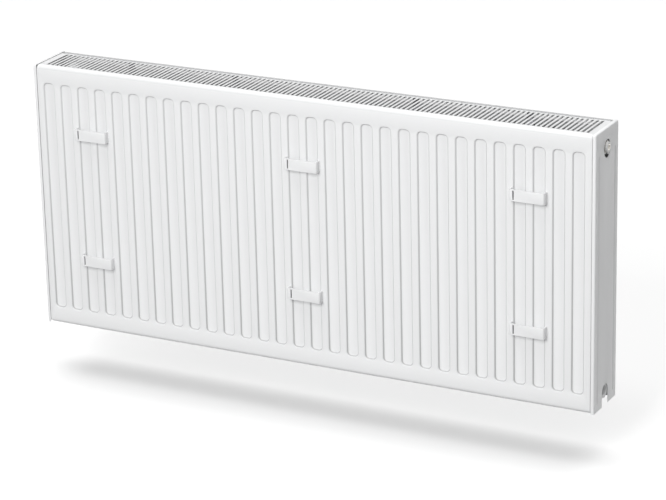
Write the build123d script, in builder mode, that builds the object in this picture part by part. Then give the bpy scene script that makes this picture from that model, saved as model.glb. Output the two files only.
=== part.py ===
from build123d import *
import os

os.makedirs("parts", exist_ok=True)

# ------------------------------------------------------------------ sizes
# Steel panel radiator, two water panels with two convectors between them.
# X runs along the radiator, Y from the wall side (-) to the room side (+),
# Z up. The origin is on the bottom plane, at mid length and mid overall depth.
LENGTH = 1100.0
HEIGHT = 500.0
DEPTH = 100.0                 # over the two panel faces
LUG_REACH = 12.0              # hanging lugs stand this far off the wall-side face
Y_WALL = -(DEPTH + LUG_REACH) / 2 + LUG_REACH      # wall-side panel face
Y_ROOM = Y_WALL + DEPTH                            # room-side panel face
Y_MID = (Y_WALL + Y_ROOM) / 2

# pressed water panel
PITCH = 35.8                  # water channel pitch
GROOVES = 30
PAN_T = 1.2                   # sheet
PAN_W = 1086.8                # panel width, inside the side cover lips
PAN_CORNER = 10.0
PAN_DEPTH = 9.2               # outer pan, face to weld plane
RIM_R = 8.0                   # rolled rim
GROOVE_W = 23.0               # at the face
GROOVE_R = 7.2
GROOVE_D = 4.0
GROOVE_Z0 = 32.5
GROOVE_Z1 = 467.5
DRAFT = 24.2
PANEL_T = PAN_DEPTH + PAN_T   # whole water panel

# convector
FIN_T = 0.5
FIN_Z0 = 22.0
FIN_Z1 = 478.0
FIN_DEPTH = 30.0
FIN_BASE = 14.0
FIN_TOP = 12.0
FIN_K = 13                    # channels -13 .. 13 carry a fin

# connections
HUB_X = 519.0
HUB_Z_TOP = 466.0
HUB_Z_BOT = 26.0
HUB_R = 15.0
HUB_BORE_R = 10.0
BOSS_R = 13.0
G12_MINOR_R = 9.315           # G1/2 female, minor diameter 18.63
G12_MAJOR_R = 10.478
G34_MAJOR_R = 13.22           # G3/4 male

# side cover
COVER_T = 1.0
COVER_LIP = 6.0
COVER_IN = LENGTH / 2 - COVER_LIP
HOLE_W = 26.0                 # upper opening, an upright oval
HOLE_H = 32.0
HOLE_DZ = -2.5                # the opening sits a little below the boss
NOTCH_W = 26.0                # lower opening, round at the top, open at the bottom edge
BEAD_Y = 14.8
BEAD_W = 7.0

# grille
SLOT_PITCH = PITCH / 4
SLOTS = 119
SLOT_W = 4.8
SLOT_Y0 = Y_WALL + 13.1
SLOT_Y1 = Y_WALL + 85.9
GRILLE_Z = 498.4
GRILLE_T = 1.0

# lugs
LUG_T = 3.0
LUG_H = 20.5
LUG_W = PITCH + 30.4
LUG_COLS = (-12 * PITCH, 0.0, 12 * PITCH)
LUG_Z = (380.0, 138.0)

groove_points = [((i - (GROOVES - 1) / 2) * PITCH, (GROOVE_Z0 + GROOVE_Z1) / 2) for i in range(GROOVES)]
mid_plane = Plane.XZ.offset(-Y_MID)


def save(piece, name):
    piece.part.label = name
    export_step(piece.part, f"parts/{name}.step")


# ------------------------------------------------------------------ water panels
# outer pan: rolled rim all round, valleys pressed in between the channels
with BuildPart() as pan_space:
    with BuildSketch(Plane.XZ.offset(-(Y_WALL + PAN_T))):
        with Locations((0, HEIGHT / 2)):
            RectangleRounded(PAN_W - 2 * PAN_T, HEIGHT - 2 * PAN_T, PAN_CORNER - PAN_T)
    extrude(amount=-PAN_DEPTH)
    fillet(pan_space.faces().sort_by(Axis.Y)[0].edges(), RIM_R - PAN_T)
    # the pressed valleys stand into the water space
    with BuildSketch(Plane.XZ.offset(-(Y_WALL + GROOVE_D + PAN_T))):
        with Locations(*groove_points):
            RectangleRounded(GROOVE_W - 2.05, GROOVE_Z1 - GROOVE_Z0 - 2.05, GROOVE_R - 1.0)
    extrude(amount=GROOVE_D + PAN_T, taper=-DRAFT, mode=Mode.SUBTRACT)

with BuildPart() as panel_wall_outer:
    with BuildSketch(Plane.XZ.offset(-Y_WALL)):
        with Locations((0, HEIGHT / 2)):
            RectangleRounded(PAN_W, HEIGHT, PAN_CORNER)
    extrude(amount=-PAN_DEPTH)
    fillet(panel_wall_outer.faces().sort_by(Axis.Y)[0].edges(), RIM_R)
    with BuildSketch(Plane.XZ.offset(-Y_WALL)):
        with Locations(*groove_points):
            RectangleRounded(GROOVE_W, GROOVE_Z1 - GROOVE_Z0, GROOVE_R)
    extrude(amount=-GROOVE_D, taper=DRAFT, mode=Mode.SUBTRACT)
    add(pan_space.part, mode=Mode.SUBTRACT)
save(panel_wall_outer, "wall_panel_outer_sheet")

# inner sheet: closes the pan, its valleys touch the outer valleys where the two are spot welded
inner_groove = [(x, z) for (x, z) in groove_points[1:-1]]
end_groove = [groove_points[0], groove_points[-1]]
Y_LID = Y_WALL + PAN_DEPTH
with BuildPart() as panel_wall_inner:
    with BuildSketch(Plane.XZ.offset(-Y_LID)):
        with Locations((0, HEIGHT / 2)):
            RectangleRounded(PAN_W, HEIGHT, PAN_CORNER)
    extrude(amount=-PAN_T)
    with BuildSketch(Plane.XZ.offset(-Y_LID)):
        with Locations(*inner_groove):
            RectangleRounded(20.4, GROOVE_Z1 - GROOVE_Z0 - 6.0, 6.5)
        with Locations(*end_groove):
            RectangleRounded(20.4, 340.0, 6.5)
    extrude(amount=GROOVE_D, taper=DRAFT)
    with BuildSketch(Plane.XZ.offset(-(Y_LID + PAN_T))):
        with Locations(*inner_groove):
            RectangleRounded(18.8, GROOVE_Z1 - GROOVE_Z0 - 7.6, 5.8)
        with Locations(*end_groove):
            RectangleRounded(18.8, 338.4, 5.8)
    extrude(amount=GROOVE_D, taper=DRAFT, mode=Mode.SUBTRACT)
    # ports into the four corner fittings
    with BuildSketch(Plane.XZ.offset(-(Y_LID - 1.0))):
        with Locations((-HUB_X, HUB_Z_BOT), (HUB_X, HUB_Z_BOT), (-HUB_X, HUB_Z_TOP), (HUB_X, HUB_Z_TOP)):
            Circle(HUB_BORE_R)
    extrude(amount=-(PAN_T + 2.0), mode=Mode.SUBTRACT)
save(panel_wall_inner, "wall_panel_inner_sheet")

with BuildPart() as panel_room_outer:
    mirror(panel_wall_outer.part, about=mid_plane)
save(panel_room_outer, "room_panel_outer_sheet")

with BuildPart() as panel_room_inner:
    mirror(panel_wall_inner.part, about=mid_plane)
save(panel_room_inner, "room_panel_inner_sheet")

# ------------------------------------------------------------------ convectors
# folded thin sheet, its bases welded on the water channels
y_base = Y_WALL + PANEL_T
fold_line = []
for k in range(-FIN_K, FIN_K + 1):
    x = k * PITCH
    fold_line += [(x - FIN_BASE / 2, y_base + FIN_T / 2), (x + FIN_BASE / 2, y_base + FIN_T / 2)]
    if k < FIN_K:
        xt = x + PITCH / 2
        fold_line += [(xt - FIN_TOP / 2, y_base + FIN_DEPTH - FIN_T / 2), (xt + FIN_TOP / 2, y_base + FIN_DEPTH - FIN_T / 2)]


def unit(a, b):
    dx, dy = b[0] - a[0], b[1] - a[1]
    n = (dx * dx + dy * dy) ** 0.5
    return dx / n, dy / n


def side(points, h):
    out = []
    for i, p in enumerate(points):
        d0 = unit(points[i - 1], p) if i > 0 else unit(p, points[i + 1])
        d1 = unit(p, points[i + 1]) if i < len(points) - 1 else d0
        n0, n1 = (-d0[1], d0[0]), (-d1[1], d1[0])
        mx, my = n0[0] + n1[0], n0[1] + n1[1]
        s = 2 * h / (mx * mx + my * my)
        out.append((p[0] + mx * s, p[1] + my * s))
    return out


with BuildPart() as convector_wall:
    with BuildSketch(Plane.XY.offset(FIN_Z0)):
        with BuildLine():
            Polyline(*side(fold_line, FIN_T / 2), *reversed(side(fold_line, -FIN_T / 2)), close=True)
        make_face()
    extrude(amount=FIN_Z1 - FIN_Z0)
save(convector_wall, "wall_convector")

with BuildPart() as convector_room:
    mirror(convector_wall.part, about=mid_plane)
save(convector_room, "room_convector")

# ------------------------------------------------------------------ corner fittings
# each bridges the two water panels and carries a socket towards the radiator's end
Y_F0 = Y_WALL + PANEL_T
Y_F1 = Y_ROOM - PANEL_T


def corner_fitting(z, boss_face, bore_r, thread_len):
    """T fitting at the +X end: cross tube along Y and a socket along +X."""
    with BuildPart() as fitting:
        with BuildSketch(Plane.XZ.offset(-Y_F0)):
            with Locations((HUB_X, z)):
                Circle(HUB_R)
        extrude(amount=-(Y_F1 - Y_F0))
        with BuildSketch(Plane.YZ.offset(HUB_X)):
            with Locations((Y_MID, z)):
                Circle(BOSS_R)
        extrude(amount=boss_face - HUB_X)
        with BuildSketch(Plane.XZ.offset(-Y_F0)):
            with Locations((HUB_X, z)):
                Circle(HUB_BORE_R)
        extrude(amount=-(Y_F1 - Y_F0), mode=Mode.SUBTRACT)
        with BuildSketch(Plane.YZ.offset(HUB_X)):
            with Locations((Y_MID, z)):
                Circle(bore_r - 0.9)
        extrude(amount=boss_face - HUB_X, mode=Mode.SUBTRACT)
        with BuildSketch(Plane.YZ.offset(boss_face - thread_len)):
            with Locations((Y_MID, z)):
                Circle(bore_r)
        extrude(amount=thread_len, mode=Mode.SUBTRACT)
        chamfer(fitting.edges().filter_by(GeomType.CIRCLE).filter_by_position(Axis.X, boss_face - 0.01, boss_face + 0.01).sort_by(SortBy.RADIUS)[0], 1.0)
    return fitting


BOSS_OPEN = LENGTH / 2 - 1.6
BOSS_PLUG = LENGTH / 2 - 3.5
BOSS_VALVE = LENGTH / 2 - 9.0
end_plane = Plane.YZ

fit_lower_right = corner_fitting(HUB_Z_BOT, BOSS_OPEN, G12_MINOR_R, 15.0)
save(fit_lower_right, "lower_right_tee")

fit_upper_right = corner_fitting(HUB_Z_TOP, BOSS_PLUG, G12_MINOR_R, 15.0)
save(fit_upper_right, "vent_tee")

# the lower left fitting has a port at its underside for the return nipple
plug_fitting = corner_fitting(HUB_Z_BOT, BOSS_PLUG, G12_MINOR_R, 15.0)
with BuildPart() as fit_lower_left:
    mirror(plug_fitting.part, about=end_plane)
    with BuildSketch(Plane.XY.offset(0.5)):
        with Locations((-HUB_X, Y_MID)):
            Circle(8.0)
    extrude(amount=HUB_Z_BOT - 0.5, mode=Mode.SUBTRACT)
save(fit_lower_left, "return_tee")

# return nipple, its neck cut to a saddle that sits on the fitting
with BuildPart() as return_nipple:
    with BuildSketch(Plane.XY.offset(0.5)):
        with Locations((-HUB_X, Y_MID)):
            Circle(G34_MAJOR_R)
    extrude(amount=10.0)
    with BuildSketch(Plane.XY.offset(10.5)):
        with Locations((-HUB_X, Y_MID)):
            Circle(12.3)
    extrude(amount=2.5)
    with BuildSketch(Plane.XY.offset(13.0)):
        with Locations((-HUB_X, Y_MID)):
            Circle(11.0)
    extrude(amount=7.0)
    with BuildSketch(Plane.XZ.offset(-Y_F0)):
        with Locations((-HUB_X, HUB_Z_BOT)):
            Circle(HUB_R)
    extrude(amount=-(Y_F1 - Y_F0), mode=Mode.SUBTRACT)
    with BuildSketch(Plane.YZ.offset(-HUB_X)):
        with Locations((Y_MID, HUB_Z_BOT)):
            Circle(BOSS_R)
    extrude(amount=-25.0, mode=Mode.SUBTRACT)
    with BuildSketch(Plane.XY.offset(0.5)):
        with Locations((-HUB_X, Y_MID)):
            Circle(8.0)
    extrude(amount=20.0, mode=Mode.SUBTRACT)
save(return_nipple, "return_nipple")

# valve housing: same outside, with a seat wall and an inlet for the riser
SEAT_X = 529.0
with BuildPart() as valve_housing:
    with BuildSketch(Plane.XZ.offset(-Y_F0)):
        with Locations((-HUB_X, HUB_Z_TOP)):
            Circle(HUB_R)
    extrude(amount=-(Y_F1 - Y_F0))
    with BuildSketch(Plane.YZ.offset(-BOSS_VALVE)):
        with Locations((Y_MID, HUB_Z_TOP)):
            Circle(BOSS_R)
    extrude(amount=BOSS_VALVE - 494.0)
    # cross ports to both panels, stopped short of the inlet chamber
    with BuildSketch(Plane.XZ.offset(-Y_F0)):
        with Locations((-HUB_X, HUB_Z_TOP)):
            Circle(HUB_BORE_R)
    extrude(amount=-(Y_F1 - Y_F0), mode=Mode.SUBTRACT)
    # inlet tube into the middle of the cross bore, closed by the seat ring
    with BuildSketch(Plane.YZ.offset(-524.0)):
        with Locations((Y_MID, HUB_Z_TOP)):
            Circle(9.8)
    extrude(amount=14.0)
    with BuildSketch(Plane.YZ.offset(-524.0)):
        with Locations((Y_MID, HUB_Z_TOP)):
            Circle(5.0)
    extrude(amount=4.0, mode=Mode.SUBTRACT)
    with BuildSketch(Plane.YZ.offset(-520.0)):
        with Locations((Y_MID, HUB_Z_TOP)):
            Circle(6.3)
    extrude(amount=26.0, mode=Mode.SUBTRACT)
    with BuildSketch(Plane.YZ.offset(-504.0)):
        with Locations((Y_MID, HUB_Z_TOP)):
            Circle(7.55)
    extrude(amount=10.0, mode=Mode.SUBTRACT)
    # threaded mouth for the insert
    with BuildSketch(Plane.YZ.offset(-BOSS_VALVE)):
        with Locations((Y_MID, HUB_Z_TOP)):
            Circle(G12_MINOR_R)
    extrude(amount=BOSS_VALVE - 525.5, mode=Mode.SUBTRACT)
save(valve_housing, "valve_housing")

# ------------------------------------------------------------------ riser and bottom supply
RISER_X = HUB_X - 50.0
RISER_R = 7.5
BEND = 18.0
with BuildPart() as riser:
    with BuildSketch(Plane.XY.offset(12.0)):
        with Locations((-RISER_X, Y_MID)):
            Circle(RISER_R)
            Circle(RISER_R - 1.2, mode=Mode.SUBTRACT)
    extrude(amount=HUB_Z_TOP - BEND - 12.0)
    with BuildSketch(Plane.XY.offset(HUB_Z_TOP - BEND)):
        with Locations((-RISER_X, Y_MID)):
            Circle(RISER_R)
            Circle(RISER_R - 1.2, mode=Mode.SUBTRACT)
    revolve(axis=Axis((-RISER_X - BEND, Y_MID, HUB_Z_TOP - BEND), (0, -1, 0)), revolution_arc=90)
    with BuildSketch(Plane.YZ.offset(-RISER_X - BEND)):
        with Locations((Y_MID, HUB_Z_TOP)):
            Circle(RISER_R)
            Circle(RISER_R - 1.2, mode=Mode.SUBTRACT)
    extrude(amount=-(504.0 - RISER_X - BEND))
save(riser, "valve_riser_pipe")

with BuildPart() as supply_nipple:
    with BuildSketch(Plane.XY.offset(0.5)):
        with Locations((-RISER_X, Y_MID)):
            Circle(G34_MAJOR_R)
    extrude(amount=12.5)
    with BuildSketch(Plane.XY.offset(13.0)):
        with Locations((-RISER_X, Y_MID)):
            Circle(11.0)
    extrude(amount=7.0)
    with BuildSketch(Plane.XY.offset(0.5)):
        with Locations((-RISER_X, Y_MID)):
            Circle(RISER_R + 0.04)
    extrude(amount=20.0, mode=Mode.SUBTRACT)
    with BuildSketch(Plane.XY.offset(9.0)):
        with Locations((-RISER_X, Y_MID)):
            Circle(RISER_R + 2.0)
            Circle(RISER_R - 1.2, mode=Mode.SUBTRACT)
    extrude(amount=2.9)
save(supply_nipple, "supply_nipple")

with BuildPart() as nipple_bracket:
    with BuildSketch(Plane.XY.offset(13.0)):
        with Locations((-RISER_X, Y_MID)):
            Rectangle(42.0, Y_F1 - Y_F0)
            Circle(11.05, mode=Mode.SUBTRACT)
    extrude(amount=3.0)
save(nipple_bracket, "nipple_bracket")

# ------------------------------------------------------------------ hanging lugs
def lug(x, z):
    """Strap over two valleys with a locking slot at its left end; legs stand on the channels."""
    with BuildPart() as strap:
        with BuildSketch(Plane.XY.offset(z - LUG_H / 2)):
            with Locations((x, Y_WALL - LUG_REACH / 2)):
                Rectangle(LUG_W, LUG_REACH)
        extrude(amount=LUG_H)
        fillet(strap.edges().filter_by(Axis.Z).group_by(Axis.Y)[0], 3.6)
        with BuildSketch(Plane.XY.offset(z - LUG_H / 2)):
            with Locations((x, Y_WALL - (LUG_REACH - LUG_T) / 2 + 1.0)):
                Rectangle(LUG_W - 2 * LUG_T, LUG_REACH - LUG_T + 2.0)
        extrude(amount=LUG_H, mode=Mode.SUBTRACT)
        with BuildSketch(Plane.XZ.offset(-(Y_WALL - LUG_REACH))):
            with Locations((x - PITCH / 2 - 6.4, z)):
                SlotOverall(LUG_H - 3.0, 2.6, rotation=90)
        extrude(amount=-LUG_T, mode=Mode.SUBTRACT)
    return strap


for zi, level in enumerate(("upper", "lower")):
    for xi, place in enumerate(("left", "middle", "right")):
        save(lug(LUG_COLS[xi], LUG_Z[zi]), f"{level}_{place}_lug")

# ------------------------------------------------------------------ side covers
with BuildPart() as cover_right:
    with BuildSketch(Plane.YZ.offset(COVER_IN)):
        with Locations((Y_MID, HEIGHT / 2)):
            Rectangle(DEPTH, HEIGHT)
    extrude(amount=COVER_LIP)
    fillet(cover_right.faces().sort_by(Axis.X)[-1].edges().filter_by(lambda e: e.center().Z > 5.0), 2.5)
    with BuildSketch(Plane.YZ.offset(COVER_IN)):
        with Locations((Y_MID, (HEIGHT - COVER_T) / 2 - 1.0)):
            Rectangle(DEPTH - 2 * COVER_T, HEIGHT - COVER_T + 2.0)
    extrude(amount=COVER_LIP - COVER_T, mode=Mode.SUBTRACT)
    # stiffening beads pressed inwards
    for yb in (Y_WALL + BEAD_Y, Y_ROOM - BEAD_Y):
        with BuildSketch(Plane.YZ.offset(LENGTH / 2 - COVER_T - 0.8)):
            with Locations((yb, 236.0)):
                SlotOverall(446.0, BEAD_W + 1.6, rotation=90)
        extrude(amount=0.9)
        with BuildSketch(Plane.YZ.offset(LENGTH / 2 - 0.9)):
            with Locations((yb, 236.0)):
                SlotOverall(443.0, BEAD_W - 0.6, rotation=90)
        extrude(amount=1.0, mode=Mode.SUBTRACT)
    # retaining tabs that push in along the inner sheets
    for (ya, yb) in ((Y_F0 + 0.4, Y_F0 + 1.4), (Y_F1 - 1.4, Y_F1 - 0.4)):
        for zt in (120.0, 380.0):
            with BuildSketch(Plane.XY.offset(zt - 15.0)):
                with Locations(((508.0 + LENGTH / 2 - COVER_T) / 2, (ya + yb) / 2)):
                    Rectangle(LENGTH / 2 - COVER_T - 508.0, yb - ya)
            extrude(amount=30.0)
    # openings for the fittings, the lower one open at the bottom edge
    with BuildSketch(Plane.YZ.offset(LENGTH / 2 - 5.0)):
        with Locations((Y_MID, HUB_Z_TOP + HOLE_DZ)):
            SlotOverall(HOLE_H, HOLE_W, rotation=90)
        with Locations((Y_MID, HUB_Z_BOT)):
            Circle(NOTCH_W / 2)
        with Locations((Y_MID, HUB_Z_BOT / 2 - 1.0)):
            Rectangle(NOTCH_W, HUB_Z_BOT + 2.0)
    extrude(amount=10.0, mode=Mode.SUBTRACT)
save(cover_right, "right_side_cover")

with BuildPart() as cover_left:
    mirror(cover_right.part, about=end_plane)
save(cover_left, "left_side_cover")

# ------------------------------------------------------------------ top grille and its clips
GRILLE_X = COVER_IN - 0.5
GRILLE_Y0 = Y_F0 + 0.4
GRILLE_Y1 = Y_F1 - 0.4
FLANGE = 10.0
with BuildPart() as grille:
    with BuildSketch(Plane.XY.offset(GRILLE_Z - GRILLE_T)):
        with Locations((0, (GRILLE_Y0 + GRILLE_Y1) / 2)):
            Rectangle(2 * GRILLE_X, GRILLE_Y1 - GRILLE_Y0)
    extrude(amount=GRILLE_T)
    with BuildSketch(Plane.XY.offset(GRILLE_Z - FLANGE)):
        with Locations((0, GRILLE_Y0 + 0.5), (0, GRILLE_Y1 - 0.5)):
            Rectangle(2 * GRILLE_X - 70.0, 1.0)
    extrude(amount=FLANGE - GRILLE_T)
    with BuildSketch(Plane.XY.offset(GRILLE_Z - GRILLE_T)):
        with GridLocations(SLOT_PITCH, 10.0, SLOTS, 1):
            with Locations((0, (SLOT_Y0 + SLOT_Y1) / 2)):
                SlotOverall(SLOT_Y1 - SLOT_Y0, SLOT_W, rotation=90)
    extrude(amount=GRILLE_T, mode=Mode.SUBTRACT)
save(grille, "top_grille")

with BuildPart() as clips:
    for xc in (-393.8, -179.0, 179.0, 393.8):
        with BuildSketch(Plane.YZ.offset(xc - 6.0)):
            with Locations((Y_MID, FIN_Z1 + 0.4)):
                Rectangle(GRILLE_Y1 - GRILLE_Y0 - 2 * 1.4, 0.8)
            with Locations((GRILLE_Y0 + 1.4 + 0.4, FIN_Z1 + 9.0), (GRILLE_Y1 - 1.4 - 0.4, FIN_Z1 + 9.0)):
                Rectangle(0.8, 18.0)
        extrude(amount=12.0)
save(clips, "grille_clips")

# ------------------------------------------------------------------ air vent, upper right
with BuildPart() as vent_plug:
    with BuildSketch(Plane.YZ.offset(BOSS_PLUG - 13.0)):
        with Locations((Y_MID, HUB_Z_TOP)):
            Circle(G12_MINOR_R - 0.06)
    extrude(amount=13.0)
    with BuildSketch(Plane.YZ.offset(BOSS_PLUG)):
        with Locations((Y_MID, HUB_Z_TOP)):
            RegularPolygon(11.6, 6)
    extrude(amount=2.2)
    with BuildSketch(Plane.YZ.offset(BOSS_PLUG + 2.2)):
        with Locations((Y_MID, HUB_Z_TOP)):
            Circle(6.0)
    extrude(amount=4.6)
    # water way and the screw's bore
    with BuildSketch(Plane.YZ.offset(BOSS_PLUG - 13.0)):
        with Locations((Y_MID, HUB_Z_TOP)):
            Circle(1.5)
    extrude(amount=13.0, mode=Mode.SUBTRACT)
    with BuildSketch(Plane.YZ.offset(BOSS_PLUG - 6.0)):
        with Locations((Y_MID, HUB_Z_TOP)):
            Circle(3.05)
    extrude(amount=14.0, mode=Mode.SUBTRACT)
    # groove for the sealing ring behind the flange
    with BuildSketch(Plane.YZ.offset(BOSS_PLUG - 2.0)):
        with Locations((Y_MID, HUB_Z_TOP)):
            Circle(12.0)
            Circle(8.0, mode=Mode.SUBTRACT)
    extrude(amount=2.0, mode=Mode.SUBTRACT)
save(vent_plug, "vent_plug")


def ring(x_face, z, name, sign=1):
    with BuildPart() as seal:
        with BuildSketch(Plane.YZ.offset(sign * (x_face - 1.9) if sign > 0 else -(x_face - 0.1))):
            with Locations((Y_MID, z)):
                Circle(G12_MINOR_R - 0.1)
                Circle(8.05, mode=Mode.SUBTRACT)
        extrude(amount=1.8)
    save(seal, name)


ring(BOSS_PLUG, HUB_Z_TOP, "vent_plug_seal")

with BuildPart() as vent_screw:
    with BuildSketch(Plane.YZ.offset(BOSS_PLUG - 5.6)):
        with Locations((Y_MID, HUB_Z_TOP)):
            Circle(3.0)
    extrude(amount=11.2)
    with BuildSketch(Plane.YZ.offset(BOSS_PLUG + 5.6)):
        with Locations((Y_MID, HUB_Z_TOP)):
            Rectangle(4.0, 4.0)
    extrude(amount=2.6)
    with BuildSketch(Plane.YZ.offset(BOSS_PLUG + 7.4)):
        with Locations((Y_MID, HUB_Z_TOP)):
            Rectangle(0.8, 5.0)
    extrude(amount=0.8, mode=Mode.SUBTRACT)
save(vent_screw, "vent_screw")

# swivelling plastic outlet ring with a short spout that points down
with BuildPart() as vent_nozzle:
    with BuildSketch(Plane.YZ.offset(BOSS_PLUG + 2.5)):
        with Locations((Y_MID, HUB_Z_TOP)):
            Circle(9.4)
            Circle(6.06, mode=Mode.SUBTRACT)
    extrude(amount=4.0)
    with BuildSketch(Plane.XY.offset(HUB_Z_TOP - 12.0)):
        with Locations((BOSS_PLUG + 4.5, Y_MID)):
            Circle(1.7)
    extrude(amount=5.0)
    with BuildSketch(Plane.XY.offset(HUB_Z_TOP - 12.0)):
        with Locations((BOSS_PLUG + 4.5, Y_MID)):
            Circle(0.8)
    extrude(amount=7.0, mode=Mode.SUBTRACT)
save(vent_nozzle, "vent_outlet_ring")

# ------------------------------------------------------------------ blank plug, lower left
with BuildPart() as blank_plug:
    with BuildSketch(Plane.YZ.offset(-BOSS_PLUG)):
        with Locations((Y_MID, HUB_Z_BOT)):
            Circle(G12_MINOR_R - 0.06)
    extrude(amount=13.0)
    with BuildSketch(Plane.YZ.offset(-BOSS_PLUG)):
        with Locations((Y_MID, HUB_Z_BOT)):
            Circle(12.0)
    extrude(amount=-3.0)
    chamfer(blank_plug.edges().filter_by(GeomType.CIRCLE).sort_by(Axis.X)[0], 0.8)
    with BuildSketch(Plane.YZ.offset(-BOSS_PLUG - 3.0)):
        with Locations((Y_MID, HUB_Z_BOT)):
            RegularPolygon(6.9, 6)
    extrude(amount=8.0, mode=Mode.SUBTRACT)
    with BuildSketch(Plane.YZ.offset(-BOSS_PLUG)):
        with Locations((Y_MID, HUB_Z_BOT)):
            Circle(12.0)
            Circle(8.0, mode=Mode.SUBTRACT)
    extrude(amount=2.0, mode=Mode.SUBTRACT)
save(blank_plug, "blank_plug")
ring(BOSS_PLUG, HUB_Z_BOT, "blank_plug_seal", sign=-1)

# ------------------------------------------------------------------ valve insert, upper left
V = -BOSS_VALVE                # mouth of the housing, the insert leaves towards -X
with BuildPart() as valve_body:
    with BuildSketch(Plane.YZ.offset(V)):
        with Locations((Y_MID, HUB_Z_TOP)):
            Circle(G12_MINOR_R - 0.06)
    extrude(amount=10.0)
    with BuildSketch(Plane.YZ.offset(V)):
        with Locations((Y_MID, HUB_Z_TOP)):
            RegularPolygon(11.8, 6)
    extrude(amount=-4.0)
    with BuildSketch(Plane.YZ.offset(V - 4.0)):
        with Locations((Y_MID, HUB_Z_TOP)):
            Circle(10.0)
    extrude(amount=-10.0)
    # groove for the sealing ring behind the hexagon
    with BuildSketch(Plane.YZ.offset(V)):
        with Locations((Y_MID, HUB_Z_TOP)):
            Circle(12.0)
            Circle(8.0, mode=Mode.SUBTRACT)
    extrude(amount=2.0, mode=Mode.SUBTRACT)
    # spring chamber, stem bore and gland seat
    with BuildSketch(Plane.YZ.offset(V)):
        with Locations((Y_MID, HUB_Z_TOP)):
            Circle(6.6)
    extrude(amount=10.0, mode=Mode.SUBTRACT)
    with BuildSketch(Plane.YZ.offset(V - 14.0)):
        with Locations((Y_MID, HUB_Z_TOP)):
            Circle(2.06)
    extrude(amount=20.0, mode=Mode.SUBTRACT)
    with BuildSketch(Plane.YZ.offset(V - 14.0)):
        with Locations((Y_MID, HUB_Z_TOP)):
            Circle(5.0)
    extrude(amount=5.0, mode=Mode.SUBTRACT)
save(valve_body, "valve_insert_body")

with BuildPart() as valve_seal:
    with BuildSketch(Plane.YZ.offset(V + 0.1)):
        with Locations((Y_MID, HUB_Z_TOP)):
            Circle(G12_MINOR_R - 0.1)
            Circle(8.05, mode=Mode.SUBTRACT)
    extrude(amount=1.8)
save(valve_seal, "valve_insert_seal")

with BuildPart() as gland:
    with BuildSketch(Plane.YZ.offset(V - 15.5)):
        with Locations((Y_MID, HUB_Z_TOP)):
            Circle(4.95)
            Circle(2.06, mode=Mode.SUBTRACT)
    extrude(amount=6.5)
save(gland, "valve_gland")

STROKE = 2.25
STEM_IN = V + 11.5             # face of the closing disc's carrier, open position
with BuildPart() as spindle:
    with BuildSketch(Plane.YZ.offset(V - 18.0)):
        with Locations((Y_MID, HUB_Z_TOP)):
            Circle(2.0)
    extrude(amount=18.0 + 11.5)
    with BuildSketch(Plane.YZ.offset(V + 10.2)):
        with Locations((Y_MID, HUB_Z_TOP)):
            Circle(6.2)
    extrude(amount=1.3)
save(spindle, "valve_spindle")

with BuildPart() as disc:
    with BuildSketch(Plane.YZ.offset(V + 11.5)):
        with Locations((Y_MID, HUB_Z_TOP)):
            Circle(6.2)
    extrude(amount=2.9)
save(disc, "valve_disc")

# return spring around the spindle, between the body's shoulder and the carrier
with BuildPart() as spring:
    with BuildLine() as coil:
        Helix(pitch=2.2, height=8.8, radius=4.2, center=(V + 0.9, Y_MID, HUB_Z_TOP), direction=(1, 0, 0))
    with BuildSketch(Plane(origin=coil.line @ 0, z_dir=coil.line % 0)):
        Circle(0.45)
    sweep(path=coil.wires()[0], is_frenet=True)
save(spring, "valve_spring")

# screw-on cap that presses the spindle in
CAP_R = 12.4
with BuildPart() as cap:
    with BuildSketch(Plane.YZ.offset(V - 6.0)):
        with Locations((Y_MID, HUB_Z_TOP)):
            Circle(CAP_R)
    extrude(amount=-16.0)
    fillet(cap.edges().filter_by(GeomType.CIRCLE).sort_by(Axis.X)[0], 2.0)
    # grip ribs
    with BuildSketch(Plane.YZ.offset(V - 6.0)):
        with Locations((Y_MID, HUB_Z_TOP)):
            with PolarLocations(CAP_R + 0.5, 18):
                Circle(1.2)
    extrude(amount=-12.0, mode=Mode.SUBTRACT)
    with BuildSketch(Plane.YZ.offset(V - 6.0)):
        with Locations((Y_MID, HUB_Z_TOP)):
            Circle(10.08)
    extrude(amount=-12.3, mode=Mode.SUBTRACT)
save(cap, "valve_cap")
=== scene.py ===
import bpy
import bmesh
import math
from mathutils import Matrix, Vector
from mathutils.geometry import delaunay_2d_cdt


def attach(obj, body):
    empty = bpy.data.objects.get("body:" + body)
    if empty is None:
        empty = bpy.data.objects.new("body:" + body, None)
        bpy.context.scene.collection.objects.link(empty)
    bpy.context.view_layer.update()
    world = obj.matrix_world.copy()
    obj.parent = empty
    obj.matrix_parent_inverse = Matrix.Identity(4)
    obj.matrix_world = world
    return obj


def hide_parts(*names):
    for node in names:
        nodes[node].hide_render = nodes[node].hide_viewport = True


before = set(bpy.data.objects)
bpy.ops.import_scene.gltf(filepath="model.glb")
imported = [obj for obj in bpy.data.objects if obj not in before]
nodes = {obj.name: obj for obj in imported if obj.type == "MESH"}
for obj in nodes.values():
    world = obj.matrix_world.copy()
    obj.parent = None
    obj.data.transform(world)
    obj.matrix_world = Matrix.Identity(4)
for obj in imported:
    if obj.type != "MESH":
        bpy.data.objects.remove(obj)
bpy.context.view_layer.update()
S = 0.001

# ------------------------------------------------------------------ sizes of the part, in mm
Y_WALL, Y_ROOM, Y_MID = -44.0, 56.0, 6.0
PITCH = 35.8
PAN_W, HEIGHT = 1086.8, 500.0
LUG_COLS = (("left", -12 * PITCH), ("middle", 0.0), ("right", 12 * PITCH))
LUG_ROWS = (("upper", 380.0), ("lower", 138.0))
HUB_X, Z_TOP, Z_BOT = 519.0, 466.0, 26.0


# ------------------------------------------------------------------ materials
def node(tree, kind, **props):
    n = tree.nodes.new(kind)
    for k, v in props.items():
        setattr(n, k, v)
    return n


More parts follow.
